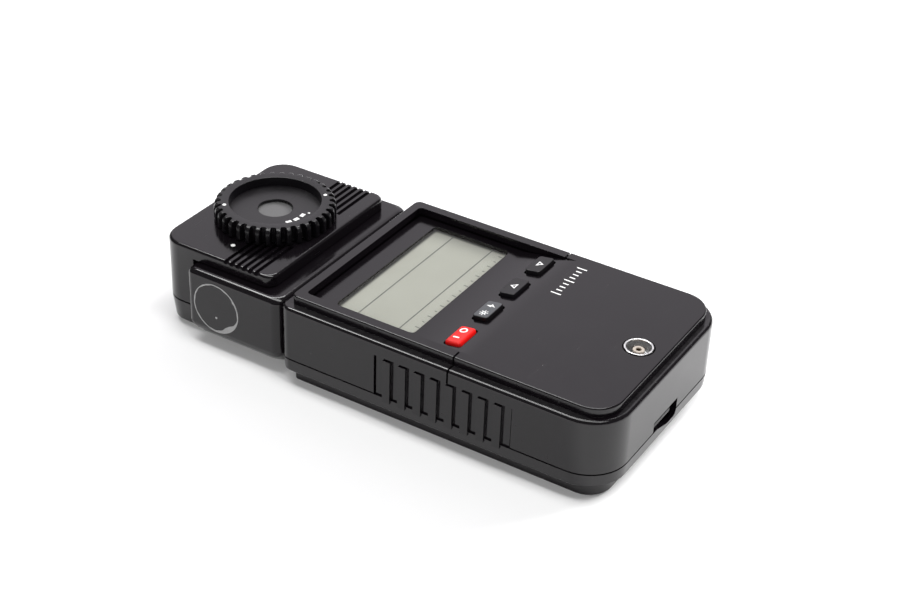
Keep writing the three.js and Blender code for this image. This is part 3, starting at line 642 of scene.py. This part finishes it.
def on_ring(radius, degrees, height):
    """A place at an angle round the receptor's axis."""
    angle = math.radians(degrees)
    return Matrix.Translation((ring_centre.x + radius * math.cos(angle),
                               radius * math.sin(angle), height))


def dots():
    """Index dots: two on the ring's face and one on the head."""
    for i, degrees in enumerate((226, 46.5)):
        mark(f"ring_dot_{i + 1}", circle(0.5 * MM), on_ring(DOT_CIRCLE, degrees, ring_high.z),
             ink_white, "receptor")
    head_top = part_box("head_front_shell")[1].z
    place = Matrix.Translation((ring_centre.x + 0.2 * MM, HEAD_DOT_Y, head_top))
    mark("head_dot", circle(0.62 * MM), place, ink_white, "swivel_head")


dots()


def far_wall_place(node):
    """A place on the middle of a node's far face, with its Z out of the wall."""
    low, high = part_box(node)
    return (Matrix.Translation(((low.x + high.x) / 2, high.y, (low.z + high.z) / 2))
            @ Matrix.Rotation(-TURN / 4, 4, "X"))


def far_side_marks():
    """A raised ring and a dot on the measuring button, and grip ribs on the mode switch."""
    button = far_wall_place("measure_button")
    ring_mark("measure_rim", BUTTON_RIM_OUTER, BUTTON_RIM_INNER, 48, (0, 0), button, key_black,
              "measure_button", BUTTON_RIM_PROUD)
    mark("measure_dot", circle(1.1 * MM, 40), button, ink_white, "measure_button")
    knob = far_wall_place("mode_switch")
    for i, offset in enumerate((-1.2, -0.4, 0.4, 1.2)):
        mark(f"mode_rib_{i + 1}", bar(0.18 * MM, 1.35 * MM, offset * MM), knob, key_black,
             "mode_switch", height=RIB_PROUD)


far_side_marks()


def cup_ticks():
    """Plain bars and a dot on the cup's plate, where the real ring is printed."""
    height = CUP_FLOOR + PLATE_PROUD
    for i, degrees in enumerate((-28, -11.5, 7)):
        turned = Matrix.Rotation(math.radians(degrees), 4, "Z")
        mark(f"cup_bar_{i + 1}", bar(0.55 * MM, 0.8 * MM),
             on_ring(CUP_BAR_CIRCLE, degrees, height) @ turned, ink_white, "receptor")
    mark("cup_dot", circle(0.35 * MM, 20), on_ring(CUP_DOT_CIRCLE, 17.8, height), ink_white,
         "receptor")


cup_ticks()


SCALE_X = case_low.x + 56.8 * MM
SCALE_START = 9.6 * MM
SCALE_PITCH = 1.75 * MM
SCALE_TICKS = 9


def exposure_scale():
    """A plain tick scale on the deck, in place of lettering."""
    for i in range(SCALE_TICKS):
        tall = 1.45 * MM if i % 4 == 0 else 0.8 * MM
        place = Matrix.Translation((SCALE_X, SCALE_START + i * SCALE_PITCH, deck_height))
        mark(f"scale_tick_{i + 1}", bar(tall, 0.2 * MM), place, ink_white,
             "meter_body")


exposure_scale()


LCD_INK = 0.02 * MM
LCD_HALF_WIDTH = 23.6 * MM
LCD_TICKS = 16
LCD_TICK_PITCH = 2.9 * MM


def display_marks():
    """The two rules and the row of index ticks that are printed under the display's cover."""
    for i, x in enumerate((17.6 * MM, 29.9 * MM)):
        place = Matrix.Translation((case_low.x + x, 0, lcd_top))
        mark(f"lcd_rule_{i + 1}", bar(0.17 * MM, LCD_HALF_WIDTH), place, ink_lcd,
             "meter_body", height=LCD_INK)
    for i in range(LCD_TICKS):
        y = (i - (LCD_TICKS - 1) / 2) * LCD_TICK_PITCH
        place = Matrix.Translation((case_low.x + 33.3 * MM, y, lcd_top))
        half = 0.6 * MM if i % 2 else 0.35 * MM
        mark(f"lcd_tick_{i + 1}", bar(half, 0.16 * MM), place, ink_lcd,
             "meter_body", height=LCD_INK)


def display_panel():
    """The display's glass, with a small chamfer round its top."""
    low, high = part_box("lcd_panel")
    half_x, half_y = (high.x - low.x) / 2, (high.y - low.y) / 2
    centre = Matrix.Translation(((high.x + low.x) / 2, 0, 0))
    rings = []
    for inset, z in ((0, low.z), (0, high.z - 0.15 * MM), (0.15 * MM, high.z)):
        rings.append([centre @ Vector((x, y, z)) for x, y in rounded_rectangle(
            half_x - inset, half_y - inset, 0.5 * MM, 3)])
    points, faces = bridge(rings)
    obj = piece("lcd_glass", points, faces, lcd_grey, "meter_body", smooth=False)
    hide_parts("lcd_panel")


display_panel()
display_marks()


# ---- sync socket ----
SYNC_TOP = sync_high.z
SYNC_OUTER = (sync_high.x - sync_low.x) / 2 - 0.05 * MM
SYNC_BORE = SYNC_OUTER - 0.62 * MM
SYNC_FACE = SYNC_TOP - 0.8 * MM
SLEEVE_BORE = 1.95 * MM
SHOULDER_RADIUS = 3.0 * MM
BUSH_BORE, BUSH_RADIUS = 0.72 * MM, 1.5 * MM
TUBE_BORE, TUBE_RADIUS = 0.42 * MM, 0.68 * MM


def thread_grooves():
    """The profile of four fine grooves down the socket's bore, which narrows a little."""
    profile = []
    for i in range(4):
        z = SYNC_TOP - (0.6 + 0.36 * i) * MM
        radius = SYNC_BORE - 0.1 * i * MM
        profile += [(radius, z + 0.08 * MM), (radius + 0.08 * MM, z), (radius, z - 0.08 * MM)]
    return profile


def sync_socket():
    """The plated ring, the insulator and the tubular contact, each of which stands for its node."""
    floor, bottom = SYNC_TOP - 2.6 * MM, sync_low.z
    shoulder = bottom + 0.4 * MM
    profile = fillet(SYNC_OUTER, SYNC_TOP, 0.2 * MM, 4)
    profile += [(SYNC_BORE + 0.2 * MM, SYNC_TOP), (SYNC_BORE + 0.05 * MM, SYNC_TOP - 0.06 * MM),
                (SYNC_BORE, SYNC_TOP - 0.25 * MM)]
    profile += thread_grooves()
    profile += [(SYNC_BORE - 0.45 * MM, floor), (SLEEVE_BORE, floor), (SLEEVE_BORE, bottom)]
    profile += [(SHOULDER_RADIUS, bottom), (SHOULDER_RADIUS, shoulder), (SYNC_OUTER, shoulder)]
    shell = lathe("sync_ring", sync_centre, profile, chrome, "meter_body")
    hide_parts("sync_shell")
    sharpen(shell)
    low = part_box("sync_insulator")[0].z
    bush = lathe("sync_bush", sync_centre, [
        (BUSH_BORE, low), (BUSH_RADIUS, low), (BUSH_RADIUS, SYNC_FACE - 0.12 * MM),
        (BUSH_RADIUS - 0.12 * MM, SYNC_FACE), (BUSH_BORE + 0.1 * MM, SYNC_FACE),
        (BUSH_BORE, SYNC_FACE - 0.1 * MM)], cream, "meter_body", 64)
    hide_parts("sync_insulator")
    sharpen(bush)
    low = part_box("sync_contact")[0].z
    end, edge = SYNC_FACE - 0.22 * MM, SYNC_FACE - 0.3 * MM
    tube = lathe("sync_tube", sync_centre, [
        (TUBE_BORE, low), (TUBE_RADIUS, low), (TUBE_RADIUS, edge), (TUBE_RADIUS - 0.08 * MM, end),
        (TUBE_BORE + 0.05 * MM, end), (TUBE_BORE, edge)], brass, "meter_body", 48)
    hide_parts("sync_contact")
    sharpen(tube)


sync_socket()


# ---- adhesive left by a round label on the head's near face ----
RESIDUE_RADIUS = 7.3 * MM
RESIDUE_HEIGHT = 13.0 * MM
RESIDUE_PROUD = 0.02 * MM


def residue_width(angle):
    """The band's width in millimetres: ragged, with a broad smear and a small tab."""

    def hump(middle, spread):
        turned = (angle - math.radians(middle) + math.pi) % TURN - math.pi
        return math.exp(-(turned / spread) ** 2)

    ragged = 0.06 * math.sin(7 * angle) + 0.05 * math.sin(17 * angle + 1)
    return 0.36 + ragged + 1.25 * hump(306, 0.42) + 0.4 * hump(34, 0.1)


def label_residue():
    """The pale ring and a speck of adhesive."""
    centre = Vector((case_low.x - 22.0 * MM, block_low.y, RESIDUE_HEIGHT))
    place = Matrix.Translation(centre) @ Matrix.Rotation(TURN / 4, 4, "X")
    steps = 120
    inner = []
    for i in range(steps):
        angle = i / steps * TURN
        radius = RESIDUE_RADIUS - residue_width(angle) * MM
        inner.append((radius * math.cos(angle), radius * math.sin(angle)))
    frame_mark("label_residue", circle(RESIDUE_RADIUS, steps), inner, place, residue,
               "swivel_head", height=RESIDUE_PROUD)
    mark("label_speck", circle(0.35 * MM, 9, (0, -2.8 * MM)), place, residue,
         "swivel_head", height=RESIDUE_PROUD)


label_residue()


# ---- stage ----
def backdrop():
    """A plain pale floor."""
    bpy.ops.mesh.primitive_plane_add(size=6)
    floor = bpy.context.object
    floor.name = "floor"
    shader = Shader("paper", (0.92, 0.92, 0.92), 0.9)
    shader.set("Specular IOR Level", 0.1)
    floor.data.materials.append(shader.material)


def softbox(name, place, target, size, power, colour=(1, 1, 1)):
    """A rectangular lamp that faces the target: metres and watts."""
    data = bpy.data.lights.new(name, "AREA")
    data.shape = "RECTANGLE"
    data.size, data.size_y = size
    data.energy = power
    data.color = colour
    light = bpy.data.objects.new(name, data)
    light.location = place
    light.rotation_euler = (Vector(target) - Vector(place)).to_track_quat("-Z", "Y").to_euler()
    bpy.context.scene.collection.objects.link(light)
    return light


def surroundings():
    """A dim world, so that the black plastic mirrors the lamps and not the room."""
    world = bpy.data.worlds.new("studio")
    world.use_nodes = True
    background = world.node_tree.nodes["Background"]
    background.inputs["Color"].default_value = (1, 1, 1, 1)
    background.inputs["Strength"].default_value = 0.15
    bpy.context.scene.world = world
    bpy.context.scene.view_settings.view_transform = "Standard"


backdrop()
surroundings()
# The panel behind is what the level faces mirror, and the two strips draw the bright edge lines.
# The key light and the front fill light the floor without showing in the gloss.
MIDDLE = (0, 0, 0)
softbox("back_panel", (-0.54, 0.9, 0.68), MIDDLE, (1.5, 1.1), 4.3, (1, 0.945, 1.02))
key_light = softbox("key_light", (0.45, 1.1, 0.6), MIDDLE, (0.8, 0.4), 28)
key_light.visible_glossy = False
softbox("overhead", (-0.05, -0.05, 0.9), (-0.05, -0.05, 0), (1.1, 0.25), 6.8)
front_fill = softbox("front_fill", (0.1, -1.0, 0.4), MIDDLE, (2.0, 0.7), 10)
front_fill.visible_glossy = False
edge_strip = softbox("edge_strip", (-0.35, 0.27, 0.9), MIDDLE, (1.0, 0.16), 6)
edge_strip.visible_diffuse = False

# The camera looks down at the near long side, turned a little towards the foot.
CAMERA_TARGET = Vector((0.45 * MM, 8.67 * MM, 13 * MM))
CAMERA_DISTANCE = 463.9 * MM
CAMERA_AZIMUTH = math.radians(30.95)
CAMERA_ELEVATION = math.radians(33.0)
CAMERA_ROLL = math.radians(2.12)
CAMERA_LENS = 69.87
CAMERA_SENSOR_WIDTH = 36


def camera():
    """The camera that the still is taken from."""
    data = bpy.data.cameras.new("camera")
    data.lens = CAMERA_LENS
    data.sensor_width = CAMERA_SENSOR_WIDTH
    data.clip_start = 0.01
    obj = bpy.data.objects.new("camera", data)
    level = math.cos(CAMERA_ELEVATION)
    back = Vector((math.sin(CAMERA_AZIMUTH) * level, -math.cos(CAMERA_AZIMUTH) * level,
                   math.sin(CAMERA_ELEVATION)))
    obj.location = CAMERA_TARGET + back * CAMERA_DISTANCE
    aim = (-back).to_track_quat("-Z", "Y") @ Matrix.Rotation(CAMERA_ROLL, 4, "Z").to_quaternion()
    obj.rotation_euler = aim.to_euler()
    bpy.context.scene.collection.objects.link(obj)
    bpy.context.scene.camera = obj


camera()
